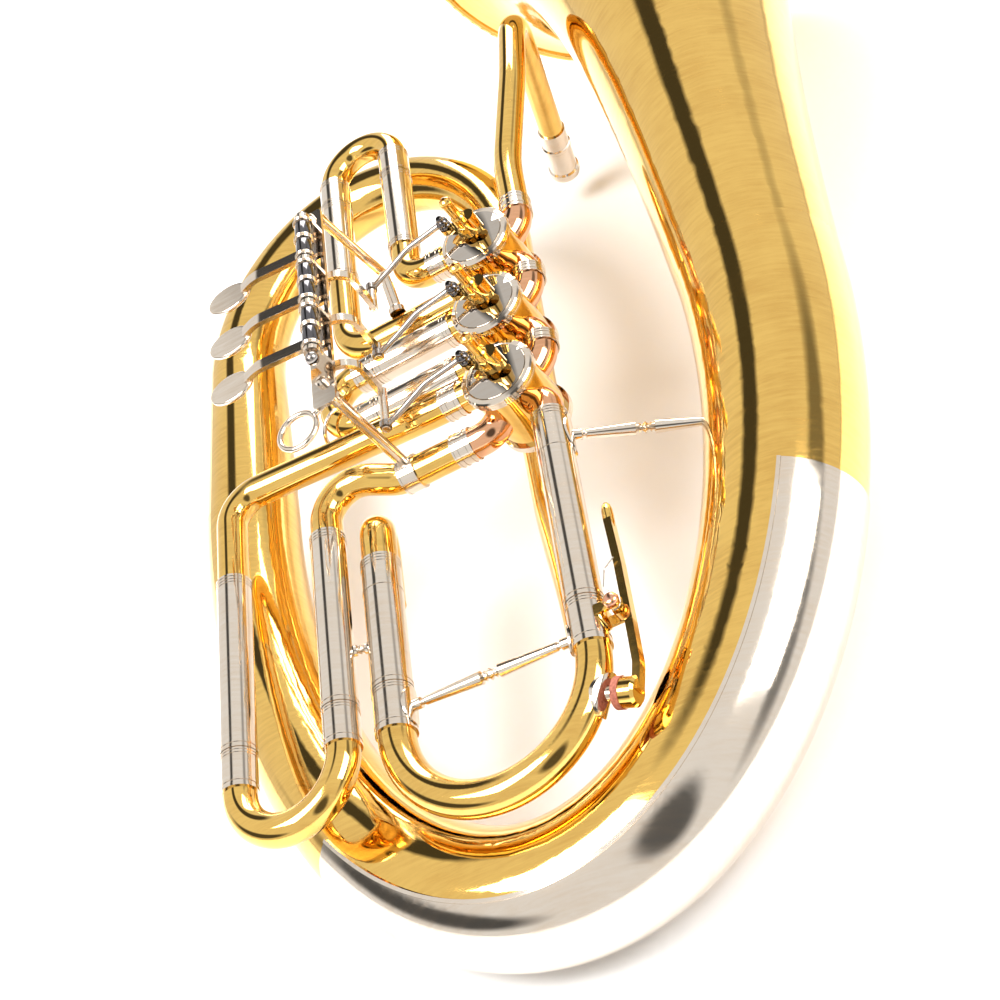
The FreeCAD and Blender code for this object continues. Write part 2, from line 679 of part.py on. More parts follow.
def bell():
    """Bell with its horn curve and a wired rim."""
    heights = [BELL_LENGTH * (1 - (step / 14) ** 2) for step in range(15)]
    outer = [V(bell_radius(BELL_MOUTH_Y - height), BELL_MOUTH_Y - height, 0) for height in heights]
    inner = [V(point.x - BELL_WALL, point.y, 0) for point in outer]
    curves = []
    for points in (outer, inner):
        curve = Part.BSplineCurve()
        curve.interpolate(points)
        curves.append(curve.toShape())
    floor = Part.LineSegment(inner[0], outer[0]).toShape()
    mouth = Part.LineSegment(outer[-1], inner[-1]).toShape()
    face = Part.Face(Part.Wire(Part.__sortEdges__([curves[0], mouth, curves[1], floor])))
    flare = face.revolve(V(0, 0, 0), Y_AXIS, 360)
    wire = Part.makeTorus(BELL_MOUTH, RIM_WIRE, V(0, BELL_MOUTH_Y, 0), Y_AXIS)
    whole = flare.fuse(wire)
    whole.translate(V(BELL_X, 0, BODY_Z))
    return whole


# ---------------------------------------------------------------- mouthpipe

LEADPIPE_BEND = V(37.0, 283.0, -20.0)
LEADPIPE_END = V(8.0, 300.0, -128.0)


def leadpipe():
    """Mouthpipe from the first valve up along the bell and back to the player."""
    start = V(KNUCKLE_X, LEADPIPE_START, PORT_Z)
    points = [start, V(KNUCKLE_X, 160, PORT_Z), V(30.0, 225.0, PORT_Z + 1), LEADPIPE_BEND, LEADPIPE_END]
    return tube(route(points, [120.0, 200.0, 30.0]), TUBE - 0.2, TUBE_BORE - 0.2)


def mouthpiece_receiver():
    """Receiver at the end of the mouthpipe, with a straight bore for the mouthpiece shank."""
    way = (LEADPIPE_END - LEADPIPE_BEND).normalize()
    start = LEADPIPE_END - way * 12
    end = LEADPIPE_END + way * (RECEIVER_DEPTH + 2)
    bore = RECEIVER_BORE
    profile = [(TUBE - 0.2, 0), (TUBE + 0.7, 0), (TUBE + 0.7, 12), (TUBE + 1.4, 13), (TUBE + 1.4, 15)]
    profile += [(TUBE + 0.7, 16), (TUBE + 0.9, 34), (TUBE + 1.9, 35), (TUBE + 2.1, 38), (TUBE + 1.6, 40)]
    profile += [(bore, 40), (bore, 14), (TUBE_BORE - 0.8, 12), (TUBE - 0.2, 12)]
    return turned(start, end, profile)


# ---------------------------------------------------------------- braces

def bell_brace():
    """Turned brace from the tuning slide's collar to the bell-side branch."""
    leg = V(MAIN_X[0], -35.0, PORT_Z)
    centres, tangents, radii = bottom_bow_stations()
    depth = (BODY_MID_Y + 44.0) / BOTTOM_DEPTH
    half = (BELL_X - LEFT_X) / 2
    branch = V((LEFT_X + BELL_X) / 2 + half * sqrt(1 - depth * depth), -44.0, BODY_Z)
    way = (branch - leg).normalize()
    leg_radius = MAIN_TUBE[0] + SLIDE_FIT + SLEEVE_WALL + 0.3
    start = leg + way * (leg_radius + 0.3)
    end = branch - way * 30
    body = turned(start, end, brace_profile((end - start).Length, 2.7, 1.5))
    body = body.cut(cone_solid(centres[16:], tangents[16:], radii[16:]))
    return body.fuse(foot(leg, Y_AXIS, leg_radius, way, 12, 7))


def leg_brace():
    """Short turned brace between the third valve's sleeve and the tuning slide's sleeve."""
    start_axis = V(SLIDE3_X[0], -106.0, SLIDE3_Z)
    end_axis = V(MAIN_X[1], -106.0, PORT_Z)
    way = (end_axis - start_axis).normalize()
    start = start_axis + way * (SLEEVE_OUT - 0.02)
    end = end_axis - way * (MAIN_TUBE[1] + SLIDE_FIT + SLEEVE_WALL - 0.02)
    length = (end - start).Length
    profile = [(0, 0), (2.6, 0), (2.6, 1.2), (1.6, 2), (2.2, length / 2), (1.6, length - 2)]
    profile += [(2.6, length - 1.2), (2.6, length), (0, length)]
    return turned(start, end, profile)


# ---------------------------------------------------------------- lever action

def axle_point(y):
    return V(AXLE.x, y, AXLE.z)


def lever_plate():
    """Plate that carries the lever axle on four lugs, with a slot for each lever arm and two screws."""
    low, high = PLATE_Y
    left, right = PLATE_X
    plate = Part.makeBox(right - left, high - low, PLATE_THICKNESS, V(left, low, PLATE_Z - PLATE_THICKNESS))
    upright = [edge for edge in plate.Edges if abs(edge.tangentAt(edge.FirstParameter).z) > 0.9]
    plate = plate.makeFillet(2.0, upright)
    for step in range(4):
        y = LEVER_Y[3] - 3 - 0.5 - LUG + LEVER_PITCH * step
        lug = Part.makeBox(7, LUG, AXLE.z - PLATE_Z, V(AXLE.x - 3.5, y, PLATE_Z))
        plate = plate.fuse(lug.fuse(bar(axle_point(y), axle_point(y + LUG), 4.0)))
    for y in LEVER_Y.values():
        slot = Part.makeBox(SLOT_X[1] - SLOT_X[0], 5.8, 9, V(SLOT_X[0], y - 2.9, PLATE_Z - 5))
        plate = plate.cut(slot)
    plate = plate.cut(bar(axle_point(low - 20), axle_point(high + 20), AXLE_RADIUS))
    for y in (0.0, high - 5):
        head = [(0, 0), (2.8, 0), (2.8, 1.6), (2.0, 2.6), (0, 3.0)]
        seat = V(AXLE.x - 0.5, y, PLATE_Z)
        slot = Part.makeBox(7, 0.9, 1.2, seat + V(-3.5, -0.45, 2.0))
        plate = plate.fuse(turned(seat, seat + Z_AXIS, head).cut(slot))
    return plate


def lever_axle():
    """Axle with a slotted ball at its lower end and a button at its upper end."""
    low = LEVER_Y[3] - 3 - 0.5 - LUG
    high = low + 3 * LEVER_PITCH + LUG
    ball_centre = axle_point(low - 3.4)
    axle = bar(ball_centre, axle_point(high), AXLE_RADIUS)
    ball = Part.makeSphere(3.4, ball_centre, Y_AXIS)
    slot = Part.makeBox(9, 2.2, 1, ball_centre - V(4.5, 3.6, 0.5))
    cap = turned(axle_point(high), axle_point(high + 3), [(0, 0), (3.2, 0), (3.2, 1.6), (1.8, 3), (0, 3)])
    return axle.fuse([ball, cap]).cut(slot)


def lever(number):
    """Lever: barrel on the axle, crank arm down to the linkage pin, and finger plate."""
    y = LEVER_Y[number]
    start = y - 3
    bore = AXLE_RADIUS + RUN_CLEARANCE
    length = BARREL_LENGTH
    half = length / 2
    profile = [(bore, 0), (BARREL + 0.5, 0), (BARREL + 0.5, 2.2), (BARREL, 2.2), (BARREL, half - 0.8)]
    profile += [(BARREL + 0.5, half - 0.8), (BARREL + 0.5, half + 0.8), (BARREL, half + 0.8)]
    profile += [(BARREL, length - 2.2), (BARREL + 0.5, length - 2.2), (BARREL + 0.5, length), (bore, length)]
    barrel = turned(axle_point(start), axle_point(start + length), profile)
    crank = route([V(ARM_X, y, AXLE.z - 2), V(ARM_X, y, 33), V(-57.0, y, 29.5), V(PIN.x, y, PIN.z)], [3.0, 9.0])
    crank_bar = rectangular_bar(crank, 2.6, 4.4)
    grip = route([V(AXLE.x - 3, y, AXLE.z + 1), V(-96, y, AXLE.z + 3), V(-104, y, AXLE.z)], [20.0])
    grip_bar = rectangular_bar(grip, 2.6, 6.0)
    finger = Part.Ellipse(V(0, 0, 0), 12, 8.5)
    pad = Part.Face(Part.Wire([finger.toShape()])).extrude(V(0, 0, 2.4))
    pad = pad.makeFillet(0.9, pad.Edges)
    pad.translate(V(-113, y, AXLE.z - 2.4))
    eye_y = VALVE_Y[number] + EYE_DROP
    way = 1 if eye_y > y else -1
    edge = V(PIN.x, eye_y - way * (EYE_HALF + 0.3), PIN.z)
    stub = bar(V(PIN.x, y - way * 2.2, PIN.z), edge, 2.3)
    pin_end = edge + V(0, way * 2 * (EYE_HALF + 0.3), 0)
    pin = bar(edge, pin_end, PIN_RADIUS)
    cap = bar(pin_end, pin_end + V(0, way, 0), 2.1)
    body = barrel.fuse([crank_bar, grip_bar, pad, stub, pin, cap])
    return body.cut(bar(axle_point(start - 5), axle_point(start + length + 5), bore))


def rectangular_bar(path, thick, wide):
    """Flat bar along a route that lies in a plane of constant Y; wide is its size along Y."""
    first = path.OrderedEdges[0]
    start = first.valueAt(first.FirstParameter)
    ahead = first.tangentAt(first.FirstParameter).normalize()
    side = ahead.cross(Y_AXIS).normalize() * (thick / 2)
    half = V(0, wide / 2, 0)
    corners = [start + side + half, start + side - half, start - side - half, start - side + half]
    profile = Part.makePolygon(corners + corners[:1])
    return path.makePipeShell([profile], True, False)


def linkage_rod(number):
    """Bent linkage rod: an eye on the lever's pin and a ball joint over the stop arm."""
    y = VALVE_Y[number]
    turn = radians(ARM_ANGLE)
    ball = V(ARM_RADIUS * cos(turn), y + ARM_RADIUS * sin(turn), BALL_Z)
    eye_centre = V(PIN.x, y + EYE_DROP, PIN.z)
    half = V(0, EYE_HALF, 0)
    eye = bar(eye_centre - half, eye_centre + half, 3.0)
    points = [eye_centre + V(1.8, 0, 0.3), V(-46, y + 1.2, 5.0), V(-33, y + 6.2, 7.4), ball]
    shaft = rod(route(points, [20.0, 14.0]), ROD_RADIUS)
    profile = [(0, 7.5), (3.1, 7.5), (3.1, 8.2), (2.4, 8.8), (3.0, 9.6), (3.1, 10.4), (2.6, 11.6)]
    profile += [(1.7, 12.2), (1.7, 13.6), (1.1, 14.2), (0, 14.2)]
    joint = turned(V(ball.x, ball.y, 0), V(ball.x, ball.y, 1), profile)
    body = shaft.fuse([eye, joint])
    return body.cut(bar(eye_centre - half * 3, eye_centre + half * 3, PIN_RADIUS + RUN_CLEARANCE))


LOWER_POST_TOP = V(-64.0, PLATE_Y[0] + 4.5, PLATE_Z - PLATE_THICKNESS)


def plate_space():
    """The slab of space from the underside of the lever plate up."""
    return Part.makeBox(60, 220, 20, V(-95, -60, PLATE_Z - PLATE_THICKNESS))


def lower_post_head():
    return bar(LOWER_POST_TOP - V(0, 0, 4), LOWER_POST_TOP, 3.6)


def plate_post_lower():
    """Post from the lever plate to its clamp round the third valve's lower tube."""
    level = VALVE_Y[3] - LOW_TUBE_RISE
    clamp_axis = V(-60.0, level, PORT_Z)
    side = X_AXIS * 4.5
    clamp = banded_sleeve(clamp_axis - side, clamp_axis + side, TUBE, TUBE + 0.9, [(0, 1), (8, 9)])
    foot_point = clamp_axis + V(0, 3, 0)
    post = bar(LOWER_POST_TOP, foot_point, 2.9).cut(bar(clamp_axis - X_AXIS * 30, clamp_axis + X_AXIS * 30, TUBE))
    return clamp.fuse([post.cut(plate_space()), lower_post_head()])


def plate_post_upper():
    """Bent post from the lever plate to the first valve's lower tube."""
    level = VALVE_Y[1] - PORT_RISE
    top = V(-64.5, PLATE_Y[1] - 2.5, PLATE_Z - PLATE_THICKNESS)
    knee = V(-56.0, 111.5, -7.0)
    seat = V(-54.5, level + TUBE - 1.0, PORT_Z + 5.5)
    body = rod(route([top, knee, seat], [5.0]), 2.5)
    way = (knee - seat).normalize()
    collar = turned(seat, knee, [(0, 0), (4.2, 0), (4.2, 3), (3.2, 4), (2.5, 8), (0, 8)])
    body = body.fuse([collar, bar(top - V(0, 0, 4), top, 3.4), bar(seat + way * 4, seat + way * 19, 2.9)])
    return body.cut([bar(V(-90, level, PORT_Z), V(-20, level, PORT_Z), TUBE), plate_space()])


def thumb_ring():
    """Wire ring for the thumb at the lower end of the lever plate."""
    centre = V(-84.5, PLATE_Y[0] - 4.0, PLATE_Z - 3.6)
    wire = Part.makeTorus(10.0, 1.5, centre, Z_AXIS)
    tab = rod(route([centre + V(9.0, 4.3, 0), centre + V(13.5, 7.5, 0.2), centre + V(17.5, 8.0, 0.2)], [3.0]), 1.4)
    return wire.fuse(tab).cut(lower_post_head())


# ---------------------------------------------------------------- water key

BOW_CENTRE = V(sum(MAIN_X) / 2, MAIN_LEG_END, PORT_Z)
BOW_HALF = (MAIN_X[0] - MAIN_X[1]) / 2
KEY_SEAT_WAY = V(cos(radians(KEY_SEAT_ANGLE)), sin(radians(KEY_SEAT_ANGLE)), 0)
KEY_SEAT_AXIS = BOW_CENTRE + KEY_SEAT_WAY * BOW_HALF
KEY_OUT = V(0.94, -0.34, 0).normalize()
KEY_SEAT = KEY_SEAT_AXIS + KEY_OUT * 8.0
SPOUT_END = 4.2
CORK_RADIUS = 6.9
CUP_RADIUS = 6.5


def key_saddle():
    """Saddle with two ears that hold the pivot screw of the water key."""
    leg = V(MAIN_X[0], KEY_PIVOT.y, PORT_Z)
    radius = MAIN_TUBE[0] + SLIDE_FIT + SLEEVE_WALL + 0.3
    ears = []
    for z in (-6.6, 5.0):
        ear = Part.makeBox(10.5, 5, 1.6, KEY_PIVOT + V(-8.7, -2.5, z))
        ears.append(ear.fuse(bar(KEY_PIVOT + V(0, 0, z), KEY_PIVOT + V(0, 0, z + 1.6), 2.9)))
    saddle = foot(leg, Y_AXIS, radius, X_AXIS, 7.5, 5.5)
    bridge = Part.makeBox(3.2, 5, 13.2, KEY_PIVOT + V(-8.7, -2.5, -6.6))
    body = saddle.fuse(ears + [bridge]).cut(bar(leg - Y_AXIS * 20, leg + Y_AXIS * 20, radius))
    screw = bar(KEY_PIVOT - V(0, 0, 6.6), KEY_PIVOT + V(0, 0, 7.2), 1.2)
    outline = [(0, 0), (3.4, 0), (3.4, 1.8), (2.6, 3.0), (0, 3.2)]
    head = turned(KEY_PIVOT + V(0, 0, 6.6), KEY_PIVOT + V(0, 0, 9), outline)
    slot = Part.makeBox(8, 0.8, 1.2, KEY_PIVOT + V(-4, -0.4, 8.8))
    return body.fuse([screw, head.cut(slot)])


def key_spring():
    """Coil spring round the pivot screw, with a long bent leg beside the key."""
    coil = Part.makeHelix(0.85, 1.6, 2.1)
    profile = Part.Wire([Part.Circle(V(2.1, 0, 0), Y_AXIS, 0.32).toShape()])
    wound = coil.makePipeShell([profile], True, True)
    wound.translate(KEY_PIVOT + V(0, 0, 2.85))
    start = KEY_PIVOT + V(2.1, 0.3, 4.3)
    leg = route([start, start + V(0, 4, 0), start + V(-5.5, 10, 0), start + V(-3.5, 19, 0), start + V(1.5, 23, 0)],
                [2.2, 2.2, 1.8])
    return [wound, rod(leg, 0.32)]


def key_nipple():
    """Oval nickel-silver patch on the outside of the bow, with a short round spout."""
    tangent = V(-KEY_SEAT_WAY.y, KEY_SEAT_WAY.x, 0)
    shell = ring(KEY_SEAT_AXIS - tangent * 20, KEY_SEAT_AXIS + tangent * 20, 9.0, 6.0)
    oval = Part.Ellipse(V(0, 0, 0), 10.0, 7.2)
    prism = Part.Face(Part.Wire([oval.toShape()])).extrude(Z_AXIS * 12)
    turn = FreeCAD.Rotation(tangent, V(0, 0, 0), KEY_SEAT_WAY, "ZXY")
    patch = shell.common(prism.transformed(FreeCAD.Placement(KEY_SEAT_AXIS, turn).toMatrix(), True))
    spout = ring(KEY_SEAT - KEY_OUT * 3, KEY_SEAT + KEY_OUT * SPOUT_END, 3.2, 2.2)
    return patch.fuse(spout).cut(bow_core())


def bow_core():
    """The space that the tuning slide's bow fills, for cutting what is seated on it."""
    centres, tangents = bend_stations(BOW_CENTRE, X_AXIS, Y_AXIS, BOW_HALF, BOW_HALF, 0, -180, 16)
    return cone_solid(centres, tangents, blend(MAIN_TUBE[0], MAIN_TUBE[1], 16))


def water_key():
    """Water key lever with its thumb end, pivot eye and cup."""
    base = KEY_SEAT + KEY_OUT * (SPOUT_END + 3.3)
    outline = [(0, 0), (CUP_RADIUS, 0), (CUP_RADIUS, 5.6), (CUP_RADIUS - 1.2, 6.8), (0, 6.8)]
    cup = turned(base, base + KEY_OUT, outline)
    tail = base + KEY_OUT * 6.4
    spine = route([KEY_TIP, V(33.2, -120, PORT_Z), V(33.0, -150, PORT_Z), V(32.6, -171, PORT_Z), tail],
                  [90.0, 60.0, 13.0])
    bead = [(0, -7.4), (1.2, -7.4), (2.0, -6), (2.5, -3.5), (2.6, 0), (2.5, 3.5), (2.0, 6), (1.2, 7.4), (0, 7.4)]
    spoon = turned(KEY_TIP + Y_AXIS * 2, KEY_TIP + Y_AXIS * 3, bead)
    eye = bar(KEY_PIVOT - V(0, 0, 4.4), KEY_PIVOT + V(0, 0, 1.0), 2.9)
    web = Part.makeBox(5.0, 5.4, 4.0, KEY_PIVOT + V(0, -2.7, -3.7))
    hole = bar(KEY_PIVOT - V(0, 0, 12), KEY_PIVOT + V(0, 0, 12), 1.2 + RUN_CLEARANCE)
    return key_bar(spine, 3.6, 5.0).fuse([cup, spoon, eye, web]).cut(hole)


def key_bar(path, thick, wide):
    """Flat bar along a route that lies in a plane of constant Z; wide is its size along Z."""
    first = path.OrderedEdges[0]
    start = first.valueAt(first.FirstParameter)
    ahead = first.tangentAt(first.FirstParameter).normalize()
    side = ahead.cross(Z_AXIS).normalize() * (thick / 2)
    half = V(0, 0, wide / 2)
    corners = [start + side + half, start + side - half, start - side - half, start - side + half]
    return path.makePipeShell([Part.makePolygon(corners + corners[:1])], True, False)


def key_cork():
    """Cork in the cup, closed against the nipple's spout."""
    start = KEY_SEAT + KEY_OUT * (SPOUT_END + 0.3)
    return bar(start, start + KEY_OUT * 3.0, CORK_RADIUS)


# ---------------------------------------------------------------- assembly

def build():
    """Every node of the horn in its own frame."""
    nodes = {}
    for number in VALVE_Y:
        nodes["casing_%d" % number] = casing(number)
        nodes["cap_front_%d" % number] = cap_front(number)
        nodes["rotor_%d" % number] = rotor(number)
        nodes["stop_arm_%d" % number] = stop_arm(number)
        nodes["lever_%d" % number] = lever(number)
        nodes["linkage_rod_%d" % number] = linkage_rod(number)
    nodes["caps_rear"] = Part.makeCompound([cap_rear(number) for number in VALVE_Y])
    nodes["knuckle_in"] = knuckle_in()
    nodes["knuckle_12"] = knuckle_between(1, 2)
    nodes["knuckle_23"] = knuckle_between(2, 3)
    nodes["knuckle_out"] = knuckle_out()
    nodes["knuckle_low"] = low_elbow()
    nodes["ferrules"] = Part.makeCompound(ferrules())
    nodes["port_tubes_1"] = Part.makeCompound(port_tubes_1())
    nodes["port_tubes_2"] = Part.makeCompound(port_tubes_2())
    nodes["port_tubes_3"] = Part.makeCompound(port_tubes_3())
    for number, (outer, legs, bow) in enumerate((slide_1(), slide_2(), slide_3()), 1):
        nodes["sleeves_%d" % number] = Part.makeCompound(outer)
        nodes["slide_%d_legs" % number] = Part.makeCompound(legs)
        nodes["slide_%d_bow" % number] = bow
    nodes["main_sleeves"] = Part.makeCompound([main_sleeve(0), main_sleeve(1)])
    nodes["main_slide_legs"] = Part.makeCompound([main_leg(0), main_leg(1)])
    nodes["main_slide_bow"] = main_bow()
    nodes["main_slide_brace"] = slide_brace()
    nodes["key_saddle"] = key_saddle()
    nodes["key_spring"] = Part.makeCompound(key_spring())
    nodes["key_nipple"] = key_nipple()
    nodes["water_key"] = water_key()
    nodes["key_cork"] = key_cork()
    nodes["return_bow"] = return_bow()
    nodes["inner_branch"] = inner_branch()
    nodes["top_bow"] = top_bow()
    nodes["left_branch"] = left_branch()
    nodes["bottom_bow"] = bottom_bow()
    nodes["bow_guard"] = bow_guard()
    nodes["bell"] = bell()
    nodes["leadpipe"] = leadpipe()
    nodes["mouthpiece_receiver"] = mouthpiece_receiver()
    nodes["braces"] = Part.makeCompound([bell_brace(), leg_brace()])
    nodes["lever_plate"] = lever_plate()
    nodes["lever_axle"] = lever_axle()
    nodes["plate_posts"] = Part.makeCompound([plate_post_lower(), plate_post_upper()])
    nodes["thumb_ring"] = thumb_ring()
    return nodes


def resting_placement(nodes):
    """Turn the horn onto its back, and put the middle of its base at the origin."""
    tilt = FreeCAD.Rotation(X_AXIS, REST_TILT)
    roll = FreeCAD.Rotation(Y_AXIS, REST_ROLL)
    turn = FreeCAD.Placement(V(0, 0, 0), roll.multiply(tilt))
    box = FreeCAD.BoundBox()
    for shape in nodes.values():
        box.add(shape.transformed(turn.toMatrix(), True).optimalBoundingBox(False, False))
    shift = V(-box.Center.x, -box.Center.y, -box.ZMin)
    return FreeCAD.Placement(shift, FreeCAD.Rotation()).multiply(turn)


def main():
    os.makedirs("parts", exist_ok=True)
    nodes = build()
    place = resting_placement(nodes)
    for name, shape in nodes.items():
        shape.transformed(place.toMatrix(), True).exportStep("parts/%s.step" % name)
    print(len(nodes), "nodes, shift", place.Base)


if __name__ == "__main__":
    main()
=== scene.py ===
import json
import math

import bmesh
import bpy
from mathutils import Matrix, Vector


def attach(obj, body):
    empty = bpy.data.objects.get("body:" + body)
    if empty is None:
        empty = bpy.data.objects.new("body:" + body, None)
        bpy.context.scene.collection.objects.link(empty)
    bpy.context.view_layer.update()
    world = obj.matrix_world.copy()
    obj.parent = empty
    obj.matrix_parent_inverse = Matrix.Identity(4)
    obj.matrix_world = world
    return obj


bl_info = {
    "name": "Rotary tuba finish",
    "version": (1, 0, 0),
    "blender": (4, 5, 0),
    "location": "3D View > Sidebar > Tuba",
    "description": "Turned details, metals and a pale studio for an oval rotary tuba",
    "category": "Object",
}

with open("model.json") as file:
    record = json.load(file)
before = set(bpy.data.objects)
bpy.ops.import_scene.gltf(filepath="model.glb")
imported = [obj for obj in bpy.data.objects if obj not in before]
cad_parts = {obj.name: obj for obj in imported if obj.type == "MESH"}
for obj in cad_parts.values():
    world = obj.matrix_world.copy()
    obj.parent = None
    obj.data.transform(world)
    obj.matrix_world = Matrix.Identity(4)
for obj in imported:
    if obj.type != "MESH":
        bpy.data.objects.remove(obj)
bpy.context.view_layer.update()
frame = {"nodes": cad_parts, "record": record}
JOINTS = {joint["name"]: joint for joint in frame["record"]["behaviour"]["joints"]}

# The horn's own frame, in millimetres: the third valve's cap face is the origin, +X is the bell
# side, +Y runs up to the bell mouth and +Z comes out of the valve caps.
MM = 0.001
PORT_DEPTH = 20.0
VALVE_PITCH = 47.8
VALVES = {1: 2 * VALVE_PITCH, 2: VALVE_PITCH, 3: 0.0}
X_AXIS, Y_AXIS, Z_AXIS = Vector((1, 0, 0)), Vector((0, 1, 0)), Vector((0, 0, 1))


def horn_frame():
    """The horn's frame as a matrix, read off the valve and lever joints."""
    out = -Vector(JOINTS["rotor_3_turn"]["axis"]).normalized()
    up = -Vector(JOINTS["lever_1_press"]["axis"]).normalized()
    side = up.cross(out)
    origin = Vector(JOINTS["rotor_3_turn"]["pos_m"]) + out * (PORT_DEPTH * MM)
    turn = Matrix((side, up, out)).transposed().to_4x4()
    return Matrix.Translation(origin) @ turn @ Matrix.Scale(MM, 4)


HORN = horn_frame()


# ---------------------------------------------------------------- sizes and colours

class TubaSizes(bpy.types.PropertyGroup):
    """Sizes of the turned details, in millimetres."""
    cap_radius: bpy.props.FloatProperty(
        name="Cap radius", description="Radius over the ribs of a valve cap, in mm", default=18.85, min=15, max=22)
    cap_ribs: bpy.props.IntProperty(
        name="Cap ribs", description="Ribs round the edge of a valve cap", default=110, min=40, max=200)
    rib_depth: bpy.props.FloatProperty(
        name="Rib depth", description="Depth of a cap's ribs, in mm", default=0.32, min=0.1, max=1)
    barrel_radius: bpy.props.FloatProperty(
        name="Barrel radius", description="Radius of the dark barrel of a lever, in mm", default=4.12, min=3, max=6)
    barrel_length: bpy.props.FloatProperty(
        name="Barrel length", description="Length of a lever's barrel, in mm", default=27.6, min=20, max=30)
    joint_radius: bpy.props.FloatProperty(
        name="Ball joint radius", description="Radius of the cup of a linkage rod, in mm", default=3.25, min=2, max=5)
    edge_round: bpy.props.FloatProperty(
        name="Edge rounding", description="Rounding of the edges of flat parts, in mm", default=0.25, min=0, max=1)
    smooth_angle: bpy.props.FloatProperty(
        name="Smooth angle", description="Edges sharper than this stay crisp", default=math.radians(28),
        subtype="ANGLE", unit="ROTATION")


def colour(name, description, default):
    return bpy.props.FloatVectorProperty(
        name=name, description=description, default=default, subtype="COLOR", min=0, max=1)


class TubaColours(bpy.types.PropertyGroup):
    """Colours of the metals and of the studio."""
    brass: colour("Brass", "Lacquered yellow brass", (0.870, 0.560, 0.150))
    gold_brass: colour("Gold brass", "Copper-rich brass of the bows between the valves", (0.840, 0.450, 0.250))
    nickel: colour("Nickel silver", "Sleeves, caps, braces and levers", (0.770, 0.685, 0.585))
    cap_face: colour("Cap face", "Mirror-bright face of a front cap", (0.520, 0.475, 0.420))
    rod_steel: colour("Rod steel", "Linkage rods and the lever axle", (0.380, 0.345, 0.320))
    dark_steel: colour("Dark steel", "Lever barrels and ball joints", (0.150, 0.145, 0.155))
    spring_steel: colour("Spring steel", "Water key spring", (0.640, 0.630, 0.615))
    copper: colour("Copper", "Pivot screw of the water key", (0.820, 0.430, 0.290))
    cork: colour("Cork", "Cork of the water key", (0.245, 0.070, 0.040))
    floor: colour("Floor", "Pale studio floor", (0.920, 0.920, 0.920))


def sizes():
    return bpy.context.scene.tuba_sizes


def colours():
    return bpy.context.scene.tuba_colours


# ---------------------------------------------------------------- shapes

def turned(outline, steps=96, closed=True):
    """Shape turned round Z from an outline of (radius, height) points."""
    shape = bmesh.new()
    points = [shape.verts.new((radius, 0, height)) for radius, height in outline]
    pairs = list(zip(points, points[1:]))
    if closed:
        pairs.append((points[-1], points[0]))
    edges = [shape.edges.new(pair) for pair in pairs]
    bmesh.ops.spin(shape, geom=points + edges, cent=(0, 0, 0), axis=Z_AXIS, angle=2 * math.pi, steps=steps,
                   use_merge=True, use_duplicate=False)
    bmesh.ops.remove_doubles(shape, verts=shape.verts, dist=0.0005)
    bmesh.ops.recalc_face_normals(shape, faces=shape.faces)
    return shape


def along(origin, direction):
    """Matrix that stands a shape turned round Z at a point of the horn, along a direction."""
    turn = Z_AXIS.rotation_difference(Vector(direction)).to_matrix().to_4x4()
    return Matrix.Translation(Vector(origin)) @ turn


def piece(name, shapes, material, body, smooth_angle=math.radians(40)):
    """Joins (shape, place in the horn's frame) pairs into one finished piece that rides on a body."""
    whole = bpy.data.meshes.new(name)
    joined = bmesh.new()
    for shape, place in shapes:
        bmesh.ops.transform(shape, matrix=HORN @ place, verts=shape.verts)
        part = bpy.data.meshes.new(name + ".part")
        shape.to_mesh(part)
        shape.free()
        joined.from_mesh(part)
        bpy.data.meshes.remove(part)
    for face in joined.faces:
        face.smooth = True
    for edge in joined.edges:
        edge.smooth = edge.is_manifold and edge.calc_face_angle(0) < smooth_angle
    joined.to_mesh(whole)
    joined.free()
    whole.materials.append(material)
    made = bpy.data.objects.new(name, whole)
    bpy.context.scene.collection.objects.link(made)
    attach(made, body)
    return made


# ---------------------------------------------------------------- surface effects

def new_group(name, inputs, outputs):
    """Empty node group with named float inputs and outputs."""
    group = bpy.data.node_groups.new(name, "ShaderNodeTree")
    for title, default in inputs:
        socket = group.interface.new_socket(name=title, in_out="INPUT", socket_type="NodeSocketFloat")
        socket.default_value = default
    for title in outputs:
        group.interface.new_socket(name=title, in_out="OUTPUT", socket_type="NodeSocketFloat")
    return group, group.nodes.new("NodeGroupInput"), group.nodes.new("NodeGroupOutput")


def noise(tree, coordinates, scale, detail=2.0, roughness=0.5, stretch=(1, 1, 1)):
    """Noise over object coordinates; scale is in features per metre."""
    mapping = tree.nodes.new("ShaderNodeMapping")
    mapping.inputs["Scale"].default_value = stretch
    tree.links.new(coordinates, mapping.inputs["Vector"])
    texture = tree.nodes.new("ShaderNodeTexNoise")
    texture.inputs["Detail"].default_value = detail
    texture.inputs["Roughness"].default_value = roughness
    tree.links.new(mapping.outputs["Vector"], texture.inputs["Vector"])
    if isinstance(scale, float):
        texture.inputs["Scale"].default_value = scale
    else:
        tree.links.new(scale, texture.inputs["Scale"])
    return texture.outputs["Fac"]


def math_node(tree, operation, first, second):
    """Math node; each input is a socket or a number."""
    node = tree.nodes.new("ShaderNodeMath")
    node.operation = operation
    for socket, value in zip(node.inputs, (first, second)):
        if isinstance(value, (int, float)):
            socket.default_value = value
        else:
            tree.links.new(value, socket)
    return node.outputs[0]


def spread(tree, value, low, high, out_low, out_high):
    """Map Range node with clamping."""
    node = tree.nodes.new("ShaderNodeMapRange")
    tree.links.new(value, node.inputs["Value"])
    limits = (("From Min", low), ("From Max", high), ("To Min", out_low), ("To Max", out_high))
    for title, limit in limits:
        if isinstance(limit, (int, float)):
            node.inputs[title].default_value = limit
        else:
            tree.links.new(limit, node.inputs[title])
    return node.outputs["Result"]


